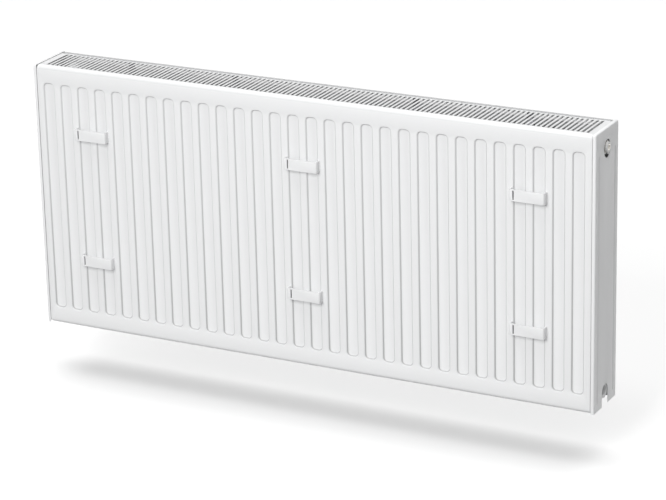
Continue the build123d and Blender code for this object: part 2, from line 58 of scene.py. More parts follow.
def finish_material(name, base, rough, metal=0.0, grain=900.0, grain_h=0.00002, strength=0.25,
                    tint=0.03, coat=0.0, coat_rough=0.2, wear=(0.0, (1, 1, 1)), scratch=0.0, ior=1.5,
                    rough_var=0.06, patch=9.0, shade_amount=0.0):
    m = bpy.data.materials.new(name)
    m.use_nodes = True
    t = m.node_tree
    t.nodes.clear()
    out = node(t, "ShaderNodeOutputMaterial")
    sh = node(t, "ShaderNodeBsdfPrincipled")
    t.links.new(sh.outputs["BSDF"], out.inputs["Surface"])
    sh.inputs["Metallic"].default_value = metal
    sh.inputs["IOR"].default_value = ior
    sh.inputs["Coat Weight"].default_value = coat
    sh.inputs["Coat Roughness"].default_value = coat_rough
    co = node(t, "ShaderNodeTexCoord")
    # slight large-scale colour variation
    big = node(t, "ShaderNodeTexNoise")
    big.inputs["Scale"].default_value = patch
    big.inputs["Detail"].default_value = 4.0
    t.links.new(co.outputs["Object"], big.inputs["Vector"])
    mix = node(t, "ShaderNodeMix", data_type="RGBA")
    mix.inputs["A"].default_value = tuple(c * (1 - tint) for c in base) + (1.0,)
    mix.inputs["B"].default_value = tuple(min(1.0, c * (1 + tint)) for c in base) + (1.0,)
    t.links.new(big.outputs["Fac"], mix.inputs["Factor"])
    colour = mix.outputs["Result"]
    # wear on the outward edges
    if wear[0] > 0:
        geo = node(t, "ShaderNodeNewGeometry")
        ramp = node(t, "ShaderNodeMapRange")
        ramp.inputs["From Min"].default_value = 0.53
        ramp.inputs["From Max"].default_value = 0.62
        ramp.inputs["To Min"].default_value = 0.0
        ramp.inputs["To Max"].default_value = wear[0]
        t.links.new(geo.outputs["Pointiness"], ramp.inputs["Value"])
        edge = node(t, "ShaderNodeMix", data_type="RGBA")
        edge.inputs["B"].default_value = tuple(wear[1]) + (1.0,)
        t.links.new(colour, edge.inputs["A"])
        t.links.new(ramp.outputs["Result"], edge.inputs["Factor"])
        colour = edge.outputs["Result"]
    # painted shade: the colour is darkened towards half its tone by the per-vertex shade value, standing in for
    # shadow in grooves, slots, rims and strap edges
    if shade_amount > 0:
        at = node(t, "ShaderNodeAttribute", attribute_name="painted_shade")
        fac = node(t, "ShaderNodeMath", operation="MULTIPLY")
        fac.inputs[1].default_value = shade_amount
        t.links.new(at.outputs["Fac"], fac.inputs[0])
        fold = node(t, "ShaderNodeMix", data_type="RGBA")
        fold.inputs["B"].default_value = (base[0] * 0.5, base[1] * 0.5, base[2] * 0.5, 1.0)
        t.links.new(colour, fold.inputs["A"])
        t.links.new(fac.outputs["Value"], fold.inputs["Factor"])
        colour = fold.outputs["Result"]
    t.links.new(colour, sh.inputs["Base Color"])
    # roughness variation
    mid = node(t, "ShaderNodeTexNoise")
    mid.inputs["Scale"].default_value = patch * 12.0
    mid.inputs["Detail"].default_value = 3.0
    t.links.new(co.outputs["Object"], mid.inputs["Vector"])
    rr_ = node(t, "ShaderNodeMapRange")
    rr_.inputs["From Min"].default_value = 0.3
    rr_.inputs["From Max"].default_value = 0.7
    rr_.inputs["To Min"].default_value = max(0.02, rough - rough_var)
    rr_.inputs["To Max"].default_value = min(1.0, rough + rough_var)
    t.links.new(mid.outputs["Fac"], rr_.inputs["Value"])
    t.links.new(rr_.outputs["Result"], sh.inputs["Roughness"])
    # fine grain as bump: orange peel on paint, turning lines on metal
    fine = node(t, "ShaderNodeTexNoise")
    fine.inputs["Scale"].default_value = grain
    fine.inputs["Detail"].default_value = 3.0
    t.links.new(co.outputs["Object"], fine.inputs["Vector"])
    height = fine.outputs["Fac"]
    if scratch > 0:
        mp = node(t, "ShaderNodeMapping")
        mp.inputs["Scale"].default_value = (4000.0, 60.0, 60.0)
        t.links.new(co.outputs["Object"], mp.inputs["Vector"])
        lines = node(t, "ShaderNodeTexNoise")
        lines.inputs["Scale"].default_value = 1.0
        t.links.new(mp.outputs["Vector"], lines.inputs["Vector"])
        add = node(t, "ShaderNodeMath", operation="MULTIPLY_ADD")
        add.inputs[1].default_value = scratch
        t.links.new(lines.outputs["Fac"], add.inputs[0])
        t.links.new(fine.outputs["Fac"], add.inputs[2])
        height = add.outputs["Value"]
    bump = node(t, "ShaderNodeBump")
    bump.inputs["Strength"].default_value = strength
    bump.inputs["Distance"].default_value = grain_h
    t.links.new(height, bump.inputs["Height"])
    t.links.new(bump.outputs["Normal"], sh.inputs["Normal"])
    return m


MATS = {
    "white_powder_coat": finish_material("white_powder_coat", (0.88, 0.885, 0.89), 0.42, grain=700.0, grain_h=0.00005,
                                         strength=0.16, tint=0.006, coat=0.12, coat_rough=0.3, wear=(0.12, (0.93, 0.93, 0.93)), shade_amount=0.42),
    "white_inner_coat": finish_material("white_inner_coat", (0.84, 0.845, 0.85), 0.50, grain=500.0, grain_h=0.00006,
                                        strength=0.25, tint=0.02, wear=(0.1, (0.85, 0.85, 0.85)), shade_amount=0.9),
    # painted shade: the inner sheets keep the same white paint but get a grey tone standing in for the shade inside
    # the radiator
    "shaded_inner_coat": finish_material("shaded_inner_coat", (0.47, 0.475, 0.48), 0.55, grain=500.0, grain_h=0.00006,
                                       strength=0.25, tint=0.03, wear=(0.1, (0.6, 0.6, 0.6))),
    "spring_steel": finish_material("spring_steel", (0.50, 0.50, 0.52), 0.34, metal=1.0, strength=0.2, scratch=0.8, tint=0.06),
    "nickel_plate": finish_material("nickel_plate", (0.66, 0.64, 0.60), 0.24, metal=1.0, grain=1500.0, strength=0.15,
                                    scratch=1.2, tint=0.04, wear=(0.5, (0.80, 0.79, 0.76))),
    "brass": finish_material("brass", (0.72, 0.53, 0.24), 0.30, metal=1.0, grain=1500.0, strength=0.18, scratch=1.2,
                             tint=0.07, wear=(0.5, (0.85, 0.68, 0.38))),
    "stainless": finish_material("stainless", (0.58, 0.58, 0.59), 0.26, metal=1.0, strength=0.15, scratch=1.0, tint=0.03,
                                 wear=(0.4, (0.72, 0.72, 0.72))),
    "rubber": finish_material("rubber", (0.028, 0.028, 0.03), 0.75, grain=1800.0, strength=0.35, tint=0.2, ior=1.45),
    "white_plastic": finish_material("white_plastic", (0.80, 0.80, 0.79), 0.36, grain=1600.0, grain_h=0.00002, strength=0.2,
                                     tint=0.012, wear=(0.15, (0.88, 0.88, 0.88)), ior=1.46),
    "grey_plastic": finish_material("grey_plastic", (0.70, 0.70, 0.69), 0.45, grain=1400.0, strength=0.3, tint=0.05,
                                    wear=(0.25, (0.78, 0.78, 0.77)), ior=1.46),
}


# ------------------------------------------------------------------ mesh helpers, all in mm
def rr(cx, cy, w, h, r, n=7):
    """rounded rectangle, counter-clockwise"""
    r = max(0.04, min(r, w / 2 - 0.01, h / 2 - 0.01))
    pts = []
    for sx, sy, a0 in ((1, 1, 0), (-1, 1, 90), (-1, -1, 180), (1, -1, 270)):
        ox, oy = cx + sx * (w / 2 - r), cy + sy * (h / 2 - r)
        for k in range(n + 1):
            a = math.radians(a0 + 90.0 * k / n)
            pts.append((ox + r * math.cos(a), oy + r * math.sin(a)))
    return pts


def circle(cx, cy, r, n=48):
    return [(cx + r * math.cos(2 * math.pi * k / n), cy + r * math.sin(2 * math.pi * k / n)) for k in range(n)]


class Sheet:
    """a surface over (u, v) with depth w, placed by a mapping; given thickness at the end"""

    def __init__(self, mapping):
        self.bm = bmesh.new()
        self.map = mapping
        # per-vertex painted shade value, read by the materials to darken the colour where shadow would fall
        self.painted_shade = self.bm.verts.layers.float.new("painted_shade")

    def vert(self, u, v, w, painted_shade=0.0):
        made = self.bm.verts.new(Vector(self.map(u, v, w)))
        made[self.painted_shade] = painted_shade
        return made

    def strip(self, loops, closed=True):
        rows = [[self.vert(*p) for p in loop] for loop in loops]
        n = len(rows[0])
        for a, b in zip(rows, rows[1:]):
            for i in range(n if closed else n - 1):
                j = (i + 1) % n
                self.bm.faces.new((a[i], a[j], b[j], b[i]))
        return rows

    def cap(self, loop):
        self.bm.faces.new([self.vert(*p) for p in loop])

    def fill(self, outline, holes, keep, w=0.0, painted_shade=0.0):
        pts, edges = [], []
        for loop in [outline] + holes:
            s = len(pts)
            pts += [Vector(p) for p in loop]
            edges += [(s + i, s + (i + 1) % len(loop)) for i in range(len(loop))]
        vs, _, faces, _, _, _ = delaunay_2d_cdt(pts, edges, [], 0, 1e-5)
        made = [self.vert(p.x, p.y, w, painted_shade) for p in vs]
        for f in faces:
            cx = sum(vs[i].x for i in f) / len(f)
            cy = sum(vs[i].y for i in f) / len(f)
            if keep(cx, cy):
                self.bm.faces.new([made[i] for i in f])
        for v in made:
            if not v.link_faces:
                self.bm.verts.remove(v)

    def shell(self, t, outward, centred=False):
        bm = self.bm
        bmesh.ops.remove_doubles(bm, verts=bm.verts[:], dist=0.002)
        bmesh.ops.recalc_face_normals(bm, faces=bm.faces[:])
        total = sum(f.calc_area() * outward(f.calc_center_median()).dot(f.normal) for f in bm.faces)
        if total < 0:
            bmesh.ops.reverse_faces(bm, faces=bm.faces[:])
        bm.normal_update()
        verts, faces = bm.verts[:], bm.faces[:]
        rim = [e for e in bm.edges if len(e.link_faces) == 1]
        step = {}
        for v in verts:
            c = sum(max(0.35, v.normal.dot(f.normal)) for f in v.link_faces) / max(1, len(v.link_faces))
            step[v] = v.normal * (t / c)
        inner = {}
        for v in verts:
            base = v.co.copy()
            mark = v[self.painted_shade]
            if centred:
                v.co = base + step[v] * 0.5
                inner[v] = bm.verts.new(base - step[v] * 0.5)
            else:
                inner[v] = bm.verts.new(base - step[v])
            inner[v][self.painted_shade] = mark
        quads = []
        for e in rim:
            loop = e.link_loops[0]
            quads.append((loop.vert, loop.link_loop_next.vert))
        for f in faces:
            bm.faces.new([inner[v] for v in reversed(f.verts[:])])
        for a, b in quads:
            bm.faces.new((b, a, inner[a], inner[b]))


def soften(bm, width, angle=50.0, segments=2, test=None):
    bm.normal_update()
    edges = [e for e in bm.edges if len(e.link_faces) == 2 and e.calc_face_angle(0.0) > math.radians(angle)
             and (test is None or test(e))]
    if edges:
        bmesh.ops.bevel(bm, geom=edges, offset=width, offset_type="OFFSET", segments=segments, profile=0.5,
                        affect="EDGES", clamp_overlap=True)


def piece(name, bm, material, body, replaces=(), angle=38.0):
    bmesh.ops.remove_doubles(bm, verts=bm.verts[:], dist=0.001)
    bmesh.ops.recalc_face_normals(bm, faces=bm.faces[:])
    bm.normal_update()
    for v in bm.verts:
        v.co *= S
    for f in bm.faces:
        f.smooth = True
    for e in bm.edges:
        if len(e.link_faces) == 2 and e.calc_face_angle(0.0) > math.radians(angle):
            e.smooth = False
    me = bpy.data.meshes.new(name)
    bm.to_mesh(me)
    bm.free()
    me.materials.append(MATS[material])
    ob = bpy.data.objects.new(name, me)
    bpy.context.scene.collection.objects.link(ob)
    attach(ob, body)
    if replaces:
        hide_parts(*replaces)
    return ob


def rings_x(bm, rows, centre, closed=False, caps=(False, False), n=72):
    """rows of (x, radius or function of angle); centre is (y, z)"""
    made = []
    for x, r in rows:
        row = []
        for k in range(n):
            a = 2 * math.pi * k / n
            q = r(a) if callable(r) else r
            row.append(bm.verts.new((x, centre[0] + q * math.cos(a), centre[1] + q * math.sin(a))))
        made.append(row)
    pairs = list(zip(made, made[1:])) + ([(made[-1], made[0])] if closed else [])
    for a, b in pairs:
        for i in range(n):
            j = (i + 1) % n
            bm.faces.new((a[i], a[j], b[j], b[i]))
    if caps[0]:
        bm.faces.new(made[0])
    if caps[1]:
        bm.faces.new(made[-1])
    return made


def hexagon(circum, limit, turn=0.0):
    ap = circum * math.cos(math.pi / 6)

    def r(a):
        phi = (a - turn) % (math.pi / 3) - math.pi / 6
        return min(ap / math.cos(phi), limit)
    return r


def tube(bm, points, radius, n=10, caps=True):
    """round bar along points; radius may be a function of the share of the length"""
    rows = []
    m = len(points)
    up = Vector((0, 0, 1))
    for i, p in enumerate(points):
        a = Vector(points[max(0, i - 1)])
        b = Vector(points[min(m - 1, i + 1)])
        d = (b - a).normalized()
        side = d.cross(up if abs(d.z) < 0.9 else Vector((1, 0, 0))).normalized()
        top = side.cross(d).normalized()
        q = radius(i / (m - 1)) if callable(radius) else radius
        rows.append([bm.verts.new(Vector(p) + side * q * math.cos(2 * math.pi * k / n) + top * q * math.sin(2 * math.pi * k / n))
                     for k in range(n)])
    for a, b in zip(rows, rows[1:]):
        for i in range(n):
            j = (i + 1) % n
            bm.faces.new((a[i], a[j], b[j], b[i]))
    if caps:
        bm.faces.new(rows[0])
        bm.faces.new(rows[-1])
    return rows


def plate(bm, mapping, cx, cy, w, h, r, t, edge):
    """flat rounded plate with softened edges; mapping takes (u, v, w), w from 0 to t"""
    rows = []
    for off, z in ((edge, 0.0), (edge * 0.3, edge * 0.3), (0.0, edge), (0.0, t - edge), (edge * 0.3, t - edge * 0.3), (edge, t)):
        rows.append([bm.verts.new(Vector(mapping(u, v, z))) for u, v in rr(cx, cy, w - 2 * off, h - 2 * off, r - off, 4)])
    for a, b in zip(rows, rows[1:]):
        for i in range(len(a)):
            j = (i + 1) % len(a)
            bm.faces.new((a[i], a[j], b[j], b[i]))
    bm.faces.new(rows[0])
    bm.faces.new(rows[-1])


def smooth(t):
    return t * t * (3 - 2 * t)


# ------------------------------------------------------------------ water panels: outer pressed sheets
GROOVE_X = [(i - 14.5) * PITCH for i in range(30)]
G_W, G_H, G_R, G_RUN, G_D = 24.8, 436.8, 8.9, 3.4, 3.2


def pressed_panel(name, mapping, outward, replaced, rim_shade=0.0):
    s = Sheet(mapping)
    rows = []
    for k in range(9):
        th = math.radians(90.0 * k / 8)
        off, w = 1 - math.sin(th), 1 - math.cos(th)
        # the rim is rolled wide along the top and bottom and tighter down the sides
        edge = [(u, v) for u, v in rr(0, 250, PAN_W + 0.8 - 2.4 * off, HEIGHT - 16.0 * off, 4.0 - 2.0 * off, 7)]
        rows.append([(u, v, w * (8.0 if abs(v - 250) > 244.0 else 1.1 + 6.9 * smooth(max(0.0, (abs(v - 250) - 234.0) / 10.0))),
                      rim_shade if v > 480.0 and k > 0 else 0.0)
                     for u, v in edge])
    rows.append([(u, v, 9.2, rim_shade if v > 480.0 else 0.0) for u, v in rr(0, 250, PAN_W + 0.8, HEIGHT, 4.0, 7)])
    s.strip(rows)
    holes = []
    for gx in GROOVE_X:
        loops = []
        # painted shade in each groove's walls and floor, heavier at the bottom end and down the right-hand wall
        for t, c in ((0.0, 0.0), (0.1, 0.0), (0.2, 0.15), (0.32, 0.6), (0.44, 1.0), (0.56, 1.0), (0.68, 1.0), (0.8, 0.7),
                     (0.9, 0.2), (1.0, 0.0)):
            off, w = G_RUN * t, G_D * smooth(t)
            loops.append([(u, v, w, c * (2.0 if v < 42.0 else 1.0 + (0.85 if u > gx else 0.0)))
                          for u, v in rr(gx, 250, G_W - 2 * off, G_H - 2 * off, G_R - off, 7)])
        s.strip(loops)
        s.cap([p[:3] for p in loops[-1]])
        holes.append(rr(gx, 250, G_W, G_H, G_R, 7))

    def keep(u, v):
        i = min(29, max(0, round(u / PITCH + 14.5)))
        du, dv = abs(u - GROOVE_X[i]), abs(v - 250)
        if du > G_W / 2 or dv > G_H / 2:
            return True
        cu, cv = du - (G_W / 2 - G_R), dv - (G_H / 2 - G_R)
        return cu > 0 and cv > 0 and cu * cu + cv * cv > G_R * G_R
    s.fill(rr(0, 250, PAN_W - 1.6, HEIGHT - 16.0, 2.0, 7), holes, keep)
    s.shell(1.2, lambda c: Vector(outward))
    return piece(name, s.bm, "white_powder_coat", "radiator", (replaced,), angle=60.0)


# the last argument paints shade along the top rim: light on the wall panel, heavier on the room panel, whose back
# edge shows as a grey line
pressed_panel("wall_face_pressing", lambda u, v, w: (u, Y_WALL + w, v), (0, -1, 0), "wall_panel_outer_sheet", rim_shade=0.5)
pressed_panel("room_face_pressing", lambda u, v, w: (u, Y_ROOM - w, v), (0, 1, 0), "room_panel_outer_sheet", rim_shade=1.8)


# ------------------------------------------------------------------ convectors: folded sheet with round folds
def folded_fin(name, y_base, sign, replaced):
    corners = []
    for k in range(-13, 14):
        x = k * PITCH
        corners += [(x - 7.0, 0.25), (x + 7.0, 0.25)]
        if k < 13:
            corners += [(x + PITCH / 2 - 6.0, 29.75), (x + PITCH / 2 + 6.0, 29.75)]
    path = [corners[0]]
    for a, b, c in zip(corners, corners[1:], corners[2:]):
        pa, pb, pc = Vector(a), Vector(b), Vector(c)
        d0, d1 = (pa - pb).normalized(), (pc - pb).normalized()
        cut = 2.6
        p0, p1 = pb + d0 * cut, pb + d1 * cut
        for q in range(6):
            t = q / 5
            path.append(tuple((1 - t) ** 2 * p0 + 2 * t * (1 - t) * pb + t * t * p1))
    path.append(corners[-1])
    s = Sheet(lambda u, v, w: (u, y_base + sign * w, v))
    levels = (22.0, 136.0, 250.0, 364.0, 478.0)
    # painted shade over the whole folded fin (value 1.0), standing in for the shade between the panels
    s.strip([[(p[0], z, p[1], 1.0) for p in path] for z in levels], closed=False)
    s.shell(0.5, lambda c: Vector((0, -sign, 0)), centred=True)
    return piece(name, s.bm, "white_inner_coat", "radiator", (replaced,), angle=50.0)


folded_fin("wall_fin_folds", -33.6, 1, "wall_convector")
folded_fin("room_fin_folds", 45.6, -1, "room_convector")


# ------------------------------------------------------------------ side covers
def side_cover(name, side, body, replaced):
    s = Sheet(lambda u, v, w: (side * (550.0 - w), u, v))
    cy, cz, hw, hh, rc = Y_MID, 240.0, 100.0, 520.0, 3.2
    rows = []
    for k in range(9):
        th = math.radians(90.0 * k / 8)
        off, w = 2.5 * (1 - math.sin(th)), 2.5 * (1 - math.cos(th))
        rows.append([(u, v, w) for u, v in rr(cy, cz, hw - 2 * off, hh - 2 * off, rc - off, 6)])
    rows.append([(u, v, 6.0) for u, v in rr(cy, cz, hw, hh, rc, 6)])
    s.strip(rows)
    holes = []
    # upper opening with a softened edge
    hz = 463.5
    s.strip([[(u, v, w) for u, v in rr(cy, hz, 26.0 + 2 * o, 32.0 + 2 * o, 13.0 + o, 12)]
             for o, w in ((0.6, 0.0), (0.2, 0.12), (0.0, 0.45))])
    holes.append(rr(cy, hz, 27.2, 33.2, 13.6, 12))
    # beads
    beads = []
    for yb in (-29.2, 41.2):
        loops = []
        # painted shade on the front wall of each bead only, the back wall left clear
        for t in (0.0, 0.15, 0.35, 0.55, 0.75, 0.9, 1.0):
            off, w = 2.9 * t, 1.5 * smooth(t)
            loops.append([(u, v, w, 1.1 * math.sin(math.pi * t) if u < yb else 0.0)
                          for u, v in rr(yb, 236.0, 7.0 - 2 * off, 446.6 - 2 * off, 3.45 - off, 6)])
        s.strip(loops)
        s.cap([p[:3] for p in loops[-1]])
        holes.append(rr(yb, 236.0, 7.0, 446.6, 3.45, 6))
        beads.append(yb)
    # lower opening, open at the bottom edge
    def notch(o):
        arc = [(cy + (13.0 + o) * math.cos(math.pi * k / 36), Z_BOT + (13.0 + o) * math.sin(math.pi * k / 36)) for k in range(37)]
        return arc + [(cy - 13.0 - o, -12.0 - o), (cy + 13.0 + o, -12.0 - o)]
    s.strip([[(u, v, w) for u, v in notch(o)] for o, w in ((0.6, 0.0), (0.2, 0.12), (0.0, 0.45))])
    holes.append(notch(0.6))

    def keep(u, v):
        if (u - cy) ** 2 + max(0.0, abs(v - hz) - 3.0) ** 2 < 13.6 ** 2:
            return False
        if (u - cy) ** 2 + (v - Z_BOT) ** 2 < 13.6 ** 2 or (abs(u - cy) < 13.6 and v < Z_BOT):
            return v < -12.6
        for yb in beads:
            if abs(u - yb) < 3.5 and abs(v - 236.0) < 223.3:
                cv = abs(v - 236.0) - (223.3 - 3.45)
                cu = abs(u - yb) - 0.05
                if cv <= 0 or cu <= 0 or cu * cu + cv * cv < 3.45 ** 2:
                    return False
        return True
    s.fill(rr(cy, cz, hw - 5.0, hh - 5.0, rc - 2.5, 6), holes, keep)
    bm = s.bm
    bmesh.ops.remove_doubles(bm, verts=bm.verts[:], dist=0.002)
    bmesh.ops.bisect_plane(bm, geom=bm.verts[:] + bm.edges[:] + bm.faces[:], plane_co=(0, 0, 0), plane_no=(0, 0, -1),
                           clear_outer=True, dist=0.001)
    s.shell(1.0, lambda c: Vector((side, 0, 0)))
    for v in bm.verts:
        if v.co.z < 0.0 or abs(v.co.z) < 0.01:
            v.co.z = 0.0
    # catches that push in along the inner sheets
    for yt, sy in ((-33.2, 1), (44.2, 1)):
        for zt in (120.0, 380.0):
            plate(bm, lambda u, v, w: (side * u, yt + sy * w, v), 528.4, zt, 41.0, 30.0, 4.0, 1.0, 0.3)
    return piece(name, bm, "white_powder_coat", body, (replaced,), angle=40.0)


side_cover("right_cover_pressing", 1, "right_side_cover", "right_side_cover")
side_cover("left_cover_pressing", -1, "left_side_cover", "left_side_cover")

# ------------------------------------------------------------------ top grille
TOP = 498.4
s = Sheet(lambda u, v, w: (u, v, TOP - w))
X1, XF, YA, YB, BEND = 543.5, 508.5, -33.2, 45.2, 1.5
outline = []
for (px, py) in ((-X1, YA), (X1, YA), (X1, YB), (-X1, YB)):
    sx, sy = (1 if px > 0 else -1), (1 if py > 0 else -1)
    corner = []
    for k in range(5):
        a = math.radians(90.0 * k / 4)
        corner.append((px - sx * 2.0 + sx * 2.0 * math.sin(a), py - sy * 2.0 + sy * 2.0 * math.cos(a)))
    if sx * sy > 0:
        corner.reverse()
    edge_y = py - sy * BEND
    flange_in = [(sx * (XF + 1.2), py), (sx * (XF + 1.2), edge_y), (sx * XF, edge_y)]
    # counter-clockwise order round the sheet
    if (px < 0 and py < 0) or (px > 0 and py > 0):
        corner = corner if (px < 0) == (corner[0][0] < corner[-1][0]) else corner[::-1]
        outline += corner + flange_in
    else:
        corner = corner if (px > 0) == (corner[0][0] < corner[-1][0]) else corner[::-1]
        outline += flange_in[::-1] + corner
slots = []
SY0, SY1 = -30.9, 41.9
SC, SL = (SY0 + SY1) / 2, SY1 - SY0
for k in range(119):
    x = (k - 59) * 8.95
    # painted shade round each slot, darkest at the slot's edge
    loops = [[(u, v, w, c) for u, v in rr(x, SC, 4.8 + 2 * o, SL + 2 * o, 2.4 + o, 5)]
             for o, w, c in ((0.35, 0.0, 0.55), (0.12, 0.1, 0.8), (0.0, 0.35, 1.6))]
    s.strip(loops)
    slots.append(rr(x, SC, 5.5, SL + 0.7, 2.75, 5))


def grille_keep(u, v):
    k = round(u / 8.95)
    if abs(k) <= 59:
        du, dv = abs(u - k * 8.95), abs(v - SC)
        if du < 2.75 and dv < SL / 2 + 0.35:
            cv = dv - (SL / 2 + 0.35 - 2.75)
            if cv <= 0 or du * du + cv * cv < 2.75 ** 2:
                return False
    if abs(u) < XF + 1.2 and (v < YA + BEND or v > YB - BEND):
        return False
    return abs(u) <= X1 and YA <= v <= YB and not (abs(u) > X1 - 2 and (v < YA + 2 or v > YB - 2) and
                                                   (abs(u) - X1 + 2) ** 2 + (min(abs(v - YA), abs(v - YB)) - 2) ** 2 > 4.001)


# painted shade over the whole flat top, toning down its brightly lit face
s.fill(outline, slots, grille_keep, painted_shade=0.55)
for edge_y, dirn in ((YA, -1), (YB, 1)):
    prof = []
    for k in range(7):
        a = math.radians(90.0 * k / 6)
        prof.append((edge_y - dirn * BEND + dirn * BEND * math.sin(a), BEND * (1 - math.cos(a))))
    prof.append((edge_y, 10.0))
    s.strip([[(-XF, y, w), (XF, y, w)] for y, w in prof], closed=False)
s.shell(1.0, lambda c: Vector((0, 0, 1)) if c.z > TOP - 0.5 else Vector((0, 1 if c.y > 6 else -1, 0)))
piece("grille_pressing", s.bm, "white_powder_coat", "top_grille", ("top_grille",), angle=50.0)


# ------------------------------------------------------------------ hanging straps
def strap(name, cx, cz, replaced):
    s = Sheet(lambda u, v, w: (cx + u, -56.0 + w, cz + v))
    flat, hh, rb = 29.5, 10.25, 3.6
    outline = [(-flat, -hh), (flat, -hh), (flat, hh), (-flat, hh)]
    slot = rr(-24.3, 0.0, 2.6, 17.5, 1.28, 5)
    s.fill(outline, [slot], lambda u, v: not (abs(u + 24.3) < 1.3 and abs(v) < 8.75 and
                                               (abs(v) < 7.45 or (u + 24.3) ** 2 + (abs(v) - 7.45) ** 2 < 1.29 ** 2)))
    for sx in (-1, 1):
        prof = []
        for k in range(8):
            a = math.radians(90.0 * k / 7)
            prof.append((sx * (flat + rb * math.sin(a)), rb * (1 - math.cos(a))))
        prof.append((sx * (flat + rb), 12.0))
        # painted shade on the bent ends, growing with depth towards the panel
        s.strip([[(u, -hh, w, min(0.5, w * 0.4)), (u, hh, w, min(0.5, w * 0.4))] for u, w in prof], closed=False)

    def outward(c):
        return Vector((0, -1, 0)) if c.y < -55.5 else Vector((1 if c.x > cx else -1, 0, 0))
    s.shell(3.0, outward)
    soften(s.bm, 0.35, angle=55.0, segments=3)
    # painted shade on the strap's upward-facing top edge, toning down its lit highlight
    for v in s.bm.verts:
        if v.co.z > cz + 9.95:
            v[s.painted_shade] = 0.9
    # the slot's edge is turned in behind the strap; its walls carry heavy painted shade to darken the slit
    collar = []
    for o, w in ((0.0, 2.6), (0.0, 6.6), (0.2, 6.9), (0.7, 6.9), (0.9, 6.6), (0.9, 2.6)):
        collar.append([s.vert(u, v, w, 2.0) for u, v in rr(-24.3, 0.0, 2.6 + 2 * o, 17.5 + 2 * o, 1.28 + o, 5)])
    for a, b in zip(collar, collar[1:] + collar[:1]):
        for i in range(len(a)):
            j = (i + 1) % len(a)
            s.bm.faces.new((a[i], a[j], b[j], b[i]))
    ob = piece(name, s.bm, "white_powder_coat", "radiator", (replaced,), angle=60.0)
    # welds at the feet, under the paint
    bm = bmesh.new()
    for sx in (-1, 1):
        x = cx + sx * 33.3
        for part in (0, 1):
            xx = x if part == 0 else cx + sx * 29.9
            pts = [(xx, Y_WALL - 0.1, cz - 8.6 + 17.2 * i / 40) for i in range(41)]
            tube(bm, pts, lambda t: 0.95 * math.sqrt(max(0.02, math.sin(math.pi * min(1, max(0, t)))) ** 0.5) +
                 0.10 * math.sin(t * 44.0) - 0.05, n=10)
    for v in bm.verts:
        if v.co.y > Y_WALL + 0.6:
            v.co.y = Y_WALL + 0.6
    piece(name + "_weld", bm, "white_powder_coat", "radiator", angle=60.0)
    return ob


for row, z in LUG_ROWS:
    for col, x in LUG_COLS:
        strap(f"{row}_{col}_strap", x, z, f"{row}_{col}_lug")

# ------------------------------------------------------------------ air vent
C_UP, C_LOW = (Y_MID, Z_TOP), (Y_MID, Z_BOT)
bm = bmesh.new()
rings_x(bm, [(533.5, 1.5), (533.5, 8.6), (534.1, 9.25), (544.5, 9.25), (544.5, 8.0), (546.5, 8.0),
             (546.5, hexagon(11.6, 10.9)), (546.8, hexagon(11.6, 11.4)), (548.1, hexagon(11.6, 11.4)),
             (548.4, hexagon(11.6, 10.9)), (548.7, hexagon(11.6, 10.2)), (548.7, 6.7), (548.85, 6.25), (549.2, 6.0),
             (552.8, 6.0), (553.1, 5.9), (553.3, 5.6), (553.3, 3.5), (553.1, 3.2), (552.8, 3.05), (540.5, 3.05), (540.5, 1.5)],
        C_UP, closed=True, n=96)
piece("vent_plug_turned", bm, "nickel_plate", "radiator", ("vent_plug",), angle=32.0)

bm = bmesh.new()
rings_x(bm, [(549.0, 6.06), (549.0, 8.9), (549.15, 9.25), (549.5, 9.4), (552.3, 9.4), (552.75, 9.25), (553.0, 8.8),
             (553.0, 6.5), (552.9, 6.2), (552.6, 6.06)], C_UP, closed=True, n=96)
pts = [(551.0, Y_MID, 459.5 - 5.5 * i / 12) for i in range(13)]
rows = tube(bm, pts, 1.7, n=28, caps=False)
inner = [[bm.verts.new((551.0 + (v.co.x - 551.0) * 0.5, Y_MID + (v.co.y - Y_MID) * 0.5, v.co.z)) for v in r] for r in rows]
for a, b in zip(inner, inner[1:]):
    for i in range(28):
        j = (i + 1) % 28
        bm.faces.new((a[j], a[i], b[i], b[j]))
for end in (0, -1):
    for i in range(28):
        j = (i + 1) % 28
        bm.faces.new((rows[end][i], rows[end][j], inner[end][j], inner[end][i]))
piece("vent_outlet_moulding", bm, "white_plastic", "vent_outlet_ring", ("vent_outlet_ring",), angle=40.0)

# thread in the open lower socket
bm = bmesh.new()
pitch_mm, turns, n = 1.814, 6, 64
start = 547.3
rows = []
for i in range(turns * n + 1):
    a = 2 * math.pi * i / n
    x = start - pitch_mm * i / n
    fade = min(1.0, i / 24.0, (turns * n - i) / 24.0)
    row = []
    for dx, r in ((-0.75, 9.45), (-0.12, 9.315 - 0.42 * fade), (0.12, 9.315 - 0.42 * fade), (0.75, 9.45)):
        row.append(bm.verts.new((x + dx, Y_MID + r * math.cos(a), Z_BOT + r * math.sin(a))))
    rows.append(row)
for a, b in zip(rows, rows[1:]):
    for k in range(4):
        bm.faces.new((a[k], a[(k + 1) % 4], b[(k + 1) % 4], b[k]))
bm.faces.new(rows[0])
bm.faces.new(rows[-1])
piece("side_socket_thread", bm, "white_inner_coat", "radiator", angle=60.0)

# ------------------------------------------------------------------ blank plug
bm = bmesh.new()
rec = hexagon(6.9, 6.9)
rings_x(bm, [(-536.5, 0.02), (-536.5, 8.7), (-537.1, 9.25), (-544.5, 9.25), (-544.5, 8.0), (-546.5, 8.0), (-546.5, 11.6),
             (-546.7, 11.9), (-547.0, 12.0), (-548.6, 12.0), (-549.1, 11.8), (-549.4, 11.3), (-549.5, 10.8),
             (-549.5, 7.6), (-549.3, lambda a: rec(a) + 0.25), (-549.0, rec), (-541.5, rec), (-541.0, 0.02)],
        C_LOW, closed=True, n=96)
piece("blank_plug_turned", bm, "nickel_plate", "radiator", ("blank_plug",), angle=32.0)


# ------------------------------------------------------------------ valve cap
def fluted(base, depth):
    def r(a):
        c = math.cos(a * 18.0)
        return base - depth * max(0.0, (c + 0.15) / 1.15) ** 1.6
    return r


